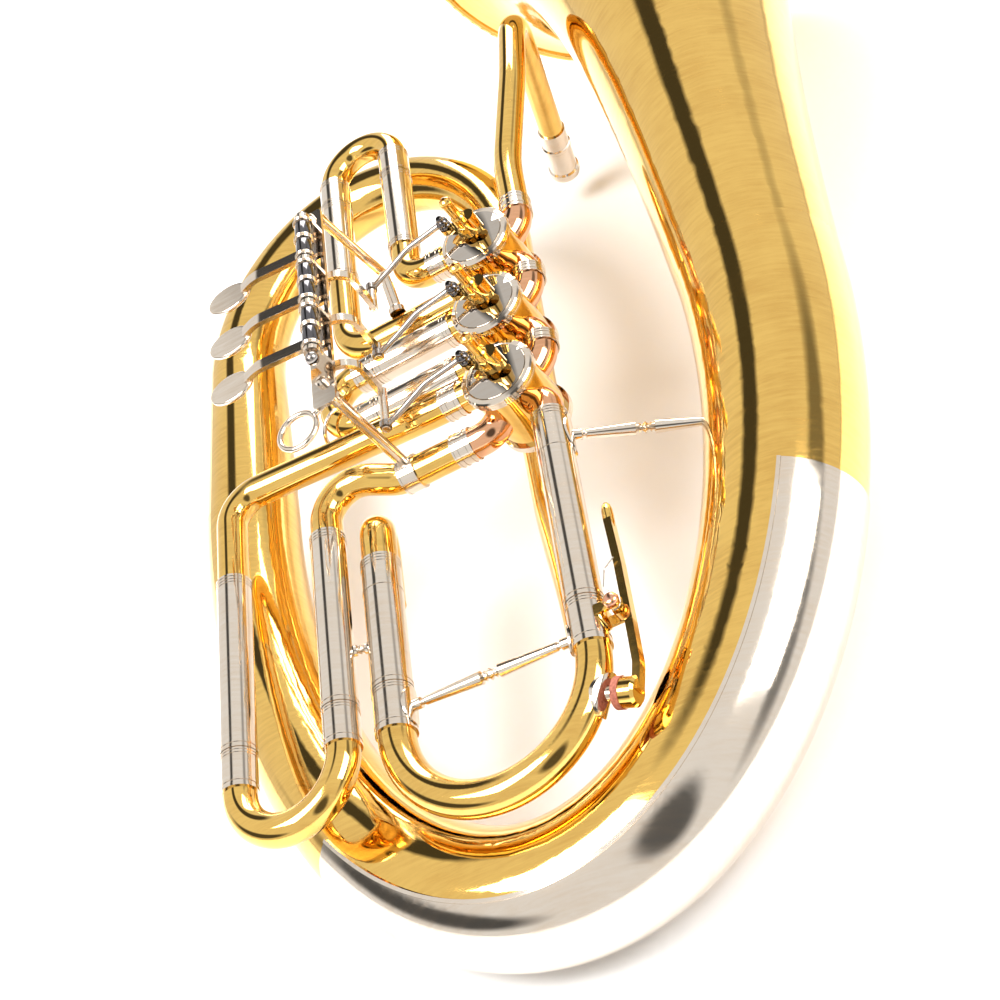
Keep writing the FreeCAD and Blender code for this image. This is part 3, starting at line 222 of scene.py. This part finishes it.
def polish_group():
    """Hand-polished metal: slow waves in the surface, wiped haze and hairline scratches."""
    group, given, result = new_group(
        "Hand polish",
        [("Smoothest", 0.04), ("Haziest", 0.14), ("Wave", 0.5), ("Scratches", 0.3)],
        ["Roughness", "Height", "Handled"])
    place = group.nodes.new("ShaderNodeTexCoord").outputs["Object"]
    wiped = noise(group, place, 34.0, 4.0, 0.62)
    streaks = noise(group, place, 60.0, 3.0, 0.6, (1, 9, 1))
    handled = math_node(group, "MULTIPLY", wiped, streaks)
    haze = spread(group, handled, 0.16, 0.42, given.outputs["Smoothest"], given.outputs["Haziest"])
    slow = noise(group, place, 24.0, 1.0, 0.4)
    fine = noise(group, place, 900.0, 2.0, 0.6, (0.25, 3, 1))
    waves = math_node(group, "MULTIPLY", slow, given.outputs["Wave"])
    hairs = math_node(group, "MULTIPLY", fine, math_node(group, "MULTIPLY", given.outputs["Scratches"], 0.02))
    group.links.new(haze, result.inputs["Roughness"])
    group.links.new(math_node(group, "ADD", waves, hairs), result.inputs["Height"])
    group.links.new(handled, result.inputs["Handled"])
    return group


def grain_group():
    """Pits and lighter flecks of a soft natural material."""
    group, given, result = new_group("Pitted grain", [("Size", 900.0)], ["Flecks", "Pits"])
    place = group.nodes.new("ShaderNodeTexCoord").outputs["Object"]
    cells = group.nodes.new("ShaderNodeTexVoronoi")
    group.links.new(given.outputs["Size"], cells.inputs["Scale"])
    group.links.new(place, cells.inputs["Vector"])
    flecks = noise(group, place, given.outputs["Size"], 4.0, 0.7)
    group.links.new(spread(group, flecks, 0.35, 0.7, 0.0, 1.0), result.inputs["Flecks"])
    group.links.new(spread(group, cells.outputs["Distance"], 0.0, 0.5, 0.0, 1.0), result.inputs["Pits"])
    return group


def plain_material(name):
    """New material with its Principled shader."""
    material = bpy.data.materials.new(name)
    material.use_nodes = True
    return material, material.node_tree, material.node_tree.nodes["Principled BSDF"]


def mixed(tree, factor, first, second):
    """Colour mix of two plain colours by a factor."""
    mix = tree.nodes.new("ShaderNodeMix")
    mix.data_type = "RGBA"
    tree.links.new(factor, mix.inputs["Factor"])
    mix.inputs["A"].default_value = (*first, 1)
    mix.inputs["B"].default_value = (*second, 1)
    return mix.outputs["Result"]


def bumped(tree, height, strength, distance, shader):
    """Bump that feeds the shader's normal; distance is in metres."""
    bump = tree.nodes.new("ShaderNodeBump")
    bump.inputs["Strength"].default_value = strength
    bump.inputs["Distance"].default_value = distance
    tree.links.new(height, bump.inputs["Height"])
    tree.links.new(bump.outputs["Normal"], shader.inputs["Normal"])


def metal(name, tone, smoothest, haziest, wave=0.5, scratches=0.3, coat=0.0, shade=0.86):
    """Polished metal: the tone deepens a little where it has been handled."""
    material, tree, shader = plain_material(name)
    polish = tree.nodes.new("ShaderNodeGroup")
    polish.node_tree = bpy.data.node_groups.get("Hand polish") or polish_group()
    for title, value in (("Smoothest", smoothest), ("Haziest", haziest), ("Wave", wave), ("Scratches", scratches)):
        polish.inputs[title].default_value = value
    deeper = [channel * (shade - 0.05 * place) for place, channel in enumerate(tone)]
    worn = spread(tree, polish.outputs["Handled"], 0.15, 0.4, 0.0, 1.0)
    tree.links.new(mixed(tree, worn, tone, deeper), shader.inputs["Base Color"])
    tree.links.new(polish.outputs["Roughness"], shader.inputs["Roughness"])
    shader.inputs["Metallic"].default_value = 1.0
    shader.inputs["Coat Weight"].default_value = coat
    shader.inputs["Coat Roughness"].default_value = 0.03
    bumped(tree, polish.outputs["Height"], 0.55, 0.0004, shader)
    return material


def cork_material():
    """Red-brown cork with pits."""
    material, tree, shader = plain_material("cork")
    grain = tree.nodes.new("ShaderNodeGroup")
    grain.node_tree = bpy.data.node_groups.get("Pitted grain") or grain_group()
    tone = tuple(colours().cork)
    lighter = [min(1, channel * 1.9 + 0.02) for channel in tone]
    tree.links.new(mixed(tree, grain.outputs["Flecks"], tone, lighter), shader.inputs["Base Color"])
    shader.inputs["Roughness"].default_value = 0.75
    bumped(tree, grain.outputs["Pits"], 0.6, 0.0003, shader)
    return material


METALS = {}


def make_metals():
    """Every material of the horn, by the plain name that the pieces use."""
    tone = colours()
    METALS["brass"] = metal("lacquered_brass", tuple(tone.brass), 0.035, 0.13, 0.4, 0.05, coat=0.15)
    METALS["small_brass"] = metal("small_brass", tuple(tone.brass), 0.05, 0.14, 0.0, 0.05, coat=0.15)
    METALS["gold_brass"] = metal("gold_brass", tuple(tone.gold_brass), 0.04, 0.13, 0.3, 0.05, coat=0.15)
    METALS["nickel"] = metal("nickel_silver", tuple(tone.nickel), 0.09, 0.16, 0.1, 0.03, shade=0.95)
    METALS["cap"] = metal("cap_nickel", tuple(tone.nickel), 0.03, 0.08, 0.0, 0.02, shade=0.95)
    METALS["cap_face"] = metal("cap_face", tuple(tone.cap_face), 0.02, 0.05, 0.0, 0.01, shade=0.97)
    METALS["rod"] = metal("rod_steel", tuple(tone.rod_steel), 0.1, 0.2, 0.0, 0.1, shade=0.9)
    METALS["steel"] = metal("dark_steel", tuple(tone.dark_steel), 0.07, 0.15, 0.0, 0.05)
    METALS["spring"] = metal("spring_steel", tuple(tone.spring_steel), 0.15, 0.28, 0.2, 0.6)
    METALS["copper"] = metal("copper", tuple(tone.copper), 0.12, 0.24, 0.2, 0.5)
    METALS["cork"] = cork_material()


# ---------------------------------------------------------------- CAD nodes

FINISH = {
    "small_brass": ("stop_arm_", "key_saddle", "water_key"),
    "brass": ("casing_", "rotor_", "port_tubes_", "slide_1_bow", "slide_2_bow", "slide_3_bow", "main_slide_bow",
              "return_bow", "inner_branch", "top_bow", "left_branch", "bottom_bow", "bell", "leadpipe"),
    "gold_brass": ("knuckle_",),
    "cap": ("cap_front_", "caps_rear"),
    "rod": ("lever_axle", "linkage_rod_"),
    "spring": ("key_spring",),
    "cork": ("key_cork",),
}
ROUNDED = ("lever_plate", "lever_1", "lever_2", "lever_3", "key_saddle", "water_key", "stop_arm_1", "stop_arm_2",
           "stop_arm_3")


def finish_of(node):
    """Name of the metal of a CAD node; nickel silver unless the table says otherwise."""
    for metal_name, starts in FINISH.items():
        if node.startswith(starts):
            return metal_name
    return "nickel"


class TUBA_OT_metals(bpy.types.Operator):
    """Give every CAD node its metal, and smooth its round faces"""
    bl_idname = "tuba.metals"
    bl_label = "Metals of the horn"

    def execute(self, context):
        make_metals()
        for node, thing in frame["nodes"].items():
            thing.data.materials.clear()
            thing.data.materials.append(METALS[finish_of(node)])
            weld = thing.modifiers.new("Weld", "WELD")
            weld.merge_threshold = 0.000002
            if node in ROUNDED:
                bevel = thing.modifiers.new("Rounding", "BEVEL")
                bevel.width = sizes().edge_round * MM
                bevel.segments = 2
                bevel.limit_method = "ANGLE"
                bevel.angle_limit = math.radians(50)
                bevel.use_clamp_overlap = True
            split = thing.modifiers.new("Crisp edges", "EDGE_SPLIT")
            split.split_angle = sizes().smooth_angle
            if node in ROUNDED:
                thing.modifiers.new("Flat faces", "WEIGHTED_NORMAL").keep_sharp = True
            for face in thing.data.polygons:
                face.use_smooth = True
        return {"FINISHED"}


# ---------------------------------------------------------------- turned details

def ribbed_band(radius, inner, low, high):
    """Ring with fine ribs round its edge."""
    ribs = sizes().cap_ribs
    edge = 0.35
    outline = [(inner, low), (radius - edge, low), (radius, low + edge), (radius, high - edge), (radius - edge, high),
               (inner, high)]
    band = turned(outline, steps=2 * ribs)
    grooves = [vert for vert in band.verts if vert.co.xy.length > radius - 0.05
               and round(math.atan2(vert.co.y, vert.co.x) * ribs / math.pi) % 2]
    shrink = (radius - sizes().rib_depth) / radius
    bmesh.ops.scale(band, vec=(shrink, shrink, 1), verts=grooves)
    return band


class TUBA_OT_cap_ribs(bpy.types.Operator):
    """Cut the fine ribs round the edges of the valve caps"""
    bl_idname = "tuba.cap_ribs"
    bl_label = "Ribs of the caps"

    def execute(self, context):
        for number, level in VALVES.items():
            place = Matrix.Translation((0, level, 0))
            radius = sizes().cap_radius
            front = ribbed_band(radius, radius - 2, -4.4, -1.5)
            rear = ribbed_band(radius, radius - 2, -40.2, -37.6)
            piece("cap_ribs_%d" % number, [(front, place), (rear, place.copy())], METALS["cap"], "horn",
                  math.radians(60))
        return {"FINISHED"}


class TUBA_OT_cap_faces(bpy.types.Operator):
    """Turn the slightly crowned, mirror-bright faces of the front caps"""
    bl_idname = "tuba.cap_faces"
    bl_label = "Faces of the caps"

    def execute(self, context):
        hole, edge, low, rise = 3.35, 15.4, -0.25, 1.6
        steps = 14
        crown = []
        for step in range(steps + 1):
            radius = hole + (edge - hole) * step / steps
            crown.append((radius, low + 0.3 + rise * (1 - (radius / edge) ** 2)))
        outline = [(hole, low), *crown, (edge, low)]
        for number, level in VALVES.items():
            face = turned(outline, 120)
            place = Matrix.Translation((0, level, 0))
            piece("cap_face_%d" % number, [(face, place)], METALS["cap_face"], "horn")
        return {"FINISHED"}


class TUBA_OT_barrels(bpy.types.Operator):
    """Turn the dark barrels of the levers and their bright rings"""
    bl_idname = "tuba.barrels"
    bl_label = "Lever barrels"

    def execute(self, context):
        radius = sizes().barrel_radius
        length = sizes().barrel_length
        middle = length / 2
        for number in VALVES:
            lever = "lever_%d" % number
            axle = JOINTS["%s_press" % lever]
            start = HORN.inverted() @ Vector(axle["pos_m"]) - Y_AXIS * 13
            inner = radius - 0.4
            spans = ((2.6, middle - 1.1), (middle + 1.1, length - 2.6))
            skins = [(turned([(inner, low), (radius - 0.1, low), (radius, low + 0.3), (radius, high - 0.3),
                              (radius - 0.1, high), (inner, high)], 64), along(start, Y_AXIS)) for low, high in spans]
            piece("barrel_%d" % number, skins, METALS["steel"], lever)
            rings = []
            for height in (0.9, 1.9, middle - 0.9, middle, middle + 0.9, length - 1.9, length - 0.9):
                rise = radius + 0.75
                outline = [(inner, height - 0.4), (radius, height - 0.4), (rise - 0.15, height - 0.3), (rise, height),
                           (rise - 0.15, height + 0.3), (radius, height + 0.4), (inner, height + 0.4)]
                rings.append((turned(outline, 64), along(start, Y_AXIS)))
            piece("barrel_rings_%d" % number, rings, METALS["nickel"], lever)
        return {"FINISHED"}


class TUBA_OT_ball_joints(bpy.types.Operator):
    """Turn the dark cups of the ball joints over the stop arms"""
    bl_idname = "tuba.ball_joints"
    bl_label = "Ball joints"

    def execute(self, context):
        radius = sizes().joint_radius
        outline = [(0, 7.45), (radius - 0.2, 7.45), (radius, 7.7), (radius, 8.3), (radius - 0.6, 8.9),
                   (radius - 0.1, 9.5), (radius, 10.2), (radius - 0.1, 10.9), (radius - 0.6, 11.7), (1.8, 12.3),
                   (1.8, 13.5), (1.3, 14.2), (0, 14.25)]
        arm = math.radians(145)
        for number, level in VALVES.items():
            place = Matrix.Translation((13.2 * math.cos(arm), level + 13.2 * math.sin(arm), 0))
            piece("ball_joint_%d" % number, [(turned(outline, 64, closed=False), place)], METALS["steel"],
                  "rod_%d" % number, math.radians(50))
        return {"FINISHED"}


class TUBA_OT_key_screw(bpy.types.Operator):
    """Set the copper-coloured domed screw head in the water key's saddle"""
    bl_idname = "tuba.key_screw"
    bl_label = "Water key screw"

    def execute(self, context):
        pivot = HORN.inverted() @ Vector(JOINTS["water_key_open"]["pos_m"])
        outline = [(0, 0), (3.3, 0), (3.48, 0.2), (3.48, 1.7), (2.9, 2.7), (2.0, 3.2), (0, 3.3)]
        head = turned(outline, 72, closed=False)
        piece("key_screw", [(head, along(pivot + Z_AXIS * 6.6, Z_AXIS))], METALS["copper"], "main_slide")
        return {"FINISHED"}


# ---------------------------------------------------------------- studio

CAMERA_BACK = Vector((0.31743, -0.65247, 0.68812))
CAMERA_UP = Vector((0.41070, 0.74866, 0.52041))
CAMERA_PLACE = Vector((244.03, -592.52, 545.66))
CAMERA_LENS = 65.5


# Dark cards round the horn, in its own frame: the side each is on, the way across it, its half
# width and half length as shares of the sky, and how much light it gives back.
DARK_CARDS = (
    ((-0.245, 0.742, 0.627), (0.945, 0.326, 0.044), 0.125, 0.50, 0.06),
    ((0.317, -0.652, 0.688), (0.900, 0.420, 0.000), 0.20, 0.42, 0.12),
    ((0.930, 0.050, 0.360), (0.350, 0.150, -0.920), 0.17, 0.60, 0.25),
    ((-0.860, -0.300, 0.400), (0.300, 0.250, 0.900), 0.17, 0.55, 0.08),
)


def dot_with(tree, vector, direction):
    """Dot product of a socket and a fixed direction."""
    node = tree.nodes.new("ShaderNodeVectorMath")
    node.operation = "DOT_PRODUCT"
    node.inputs[1].default_value = direction
    tree.links.new(vector, node.inputs[0])
    return node.outputs["Value"]


def dark_card(tree, direction, facing, across, half_width, half_length, given_back):
    """Share of light left by one soft-edged dark card of the world; 1 outside it."""
    turn = HORN.to_3x3().normalized()
    facing = (turn @ Vector(facing)).normalized()
    across = turn @ Vector(across)
    across = (across - facing * across.dot(facing)).normalized()
    wide = math_node(tree, "DIVIDE", dot_with(tree, direction, across), half_width)
    tall = math_node(tree, "DIVIDE", dot_with(tree, direction, facing.cross(across)), half_length)
    spot = math_node(tree, "ADD", math_node(tree, "POWER", math_node(tree, "ABSOLUTE", wide, 0), 2.0),
                     math_node(tree, "POWER", math_node(tree, "ABSOLUTE", tall, 0), 2.0))
    outside = spread(tree, spot, 0.6, 1.5, given_back, 1.0)
    behind = spread(tree, dot_with(tree, direction, facing), -0.05, 0.05, 1.0, 0.0)
    return math_node(tree, "MAXIMUM", outside, behind)


def studio_world():
    """White to the camera; bright with soft dark cards to everything else, so that the metal has contrast."""
    world = bpy.data.worlds.new("studio")
    world.use_nodes = True
    tree = world.node_tree
    tree.nodes.clear()
    direction = tree.nodes.new("ShaderNodeTexCoord").outputs["Generated"]
    cards = [dark_card(tree, direction, *card) for card in DARK_CARDS]
    light = cards[0]
    for card in cards[1:]:
        light = math_node(tree, "MULTIPLY", light, card)
    glow = tree.nodes.new("ShaderNodeBackground")
    tree.links.new(spread(tree, light, 0.0, 1.0, 0.015, 0.95), glow.inputs["Strength"])
    glow.inputs["Color"].default_value = (1, 0.995, 0.985, 1)
    white = tree.nodes.new("ShaderNodeBackground")
    white.inputs["Color"].default_value = (1, 1, 1, 1)
    white.inputs["Strength"].default_value = 1.0
    ray = tree.nodes.new("ShaderNodeLightPath")
    either = tree.nodes.new("ShaderNodeMixShader")
    tree.links.new(ray.outputs["Is Camera Ray"], either.inputs[0])
    tree.links.new(glow.outputs[0], either.inputs[1])
    tree.links.new(white.outputs[0], either.inputs[2])
    output = tree.nodes.new("ShaderNodeOutputWorld")
    tree.links.new(either.outputs[0], output.inputs["Surface"])
    return world


def soft_light(name, place, target, size, power):
    """Square soft light that faces a point."""
    data = bpy.data.lights.new(name, "AREA")
    data.shape = "SQUARE"
    data.size = size
    data.energy = power
    lamp = bpy.data.objects.new(name, data)
    aim = (Vector(target) - Vector(place)).to_track_quat("-Z", "Y")
    lamp.matrix_world = Matrix.Translation(Vector(place)) @ aim.to_matrix().to_4x4()
    bpy.context.scene.collection.objects.link(lamp)
    return lamp


def floor_material():
    """Pale matt floor with a faint unevenness."""
    material, tree, shader = plain_material("floor")
    tone = tuple(colours().floor)
    place = tree.nodes.new("ShaderNodeTexCoord").outputs["Object"]
    uneven = noise(tree, place, 3.0, 3.0, 0.5)
    tree.links.new(mixed(tree, uneven, tone, [channel * 0.99 for channel in tone]), shader.inputs["Base Color"])
    shader.inputs["Roughness"].default_value = 0.85
    return material


class TUBA_OT_stage(bpy.types.Operator):
    """Set the pale floor, the soft lights and the camera"""
    bl_idname = "tuba.stage"
    bl_label = "Studio"

    def execute(self, context):
        scene = context.scene
        scene.world = studio_world()
        scene.view_settings.view_transform = "Standard"
        sheet = bmesh.new()
        bmesh.ops.create_grid(sheet, x_segments=1, y_segments=1, size=12)
        mesh = bpy.data.meshes.new("floor")
        sheet.to_mesh(mesh)
        sheet.free()
        mesh.materials.append(floor_material())
        floor = bpy.data.objects.new("floor", mesh)
        scene.collection.objects.link(floor)
        lights = [soft_light("key_light", (-0.9, -0.6, 1.9), (0, 0, 0), 1.0, 46),
                  soft_light("fill_light", (1.6, -0.4, 1.4), (0, 0, 0), 1.2, 40),
                  soft_light("back_light", (0.3, 1.9, 1.3), (0, 0, 0), 1.2, 40)]
        side = CAMERA_UP.cross(CAMERA_BACK)
        view = Matrix((side, CAMERA_UP, CAMERA_BACK)).transposed().to_4x4()
        data = bpy.data.cameras.new("camera")
        data.lens = CAMERA_LENS
        data.sensor_width = 36
        data.clip_start = 0.01
        camera = bpy.data.objects.new("camera", data)
        stand = HORN @ Matrix.Translation(CAMERA_PLACE) @ view
        camera.matrix_world = Matrix.LocRotScale(stand.to_translation(), stand.to_quaternion(), None)
        scene.collection.objects.link(camera)
        scene.camera = camera
        return {"FINISHED"}


# ---------------------------------------------------------------- panel and run

OPERATORS = (TUBA_OT_metals, TUBA_OT_cap_ribs, TUBA_OT_cap_faces, TUBA_OT_barrels, TUBA_OT_ball_joints, TUBA_OT_key_screw,
             TUBA_OT_stage)


class TUBA_PT_panel(bpy.types.Panel):
    """Lists the steps that finish the horn"""
    bl_idname = "TUBA_PT_panel"
    bl_label = "Rotary tuba"
    bl_space_type = "VIEW_3D"
    bl_region_type = "UI"
    bl_category = "Tuba"

    def draw(self, context):
        for group in (context.scene.tuba_sizes, context.scene.tuba_colours):
            for name in group.__annotations__:
                self.layout.prop(group, name)
        for operator in OPERATORS:
            self.layout.operator(operator.bl_idname)


CLASSES = (TubaSizes, TubaColours, *OPERATORS, TUBA_PT_panel)


def register():
    for each in CLASSES:
        bpy.utils.register_class(each)
    bpy.types.Scene.tuba_sizes = bpy.props.PointerProperty(type=TubaSizes)
    bpy.types.Scene.tuba_colours = bpy.props.PointerProperty(type=TubaColours)


def unregister():
    del bpy.types.Scene.tuba_colours
    del bpy.types.Scene.tuba_sizes
    for each in reversed(CLASSES):
        bpy.utils.unregister_class(each)


def main():
    register()
    for operator in OPERATORS:
        group, name = operator.bl_idname.split(".")
        getattr(getattr(bpy.ops, group), name)()


if __name__ == "__main__":
    main()
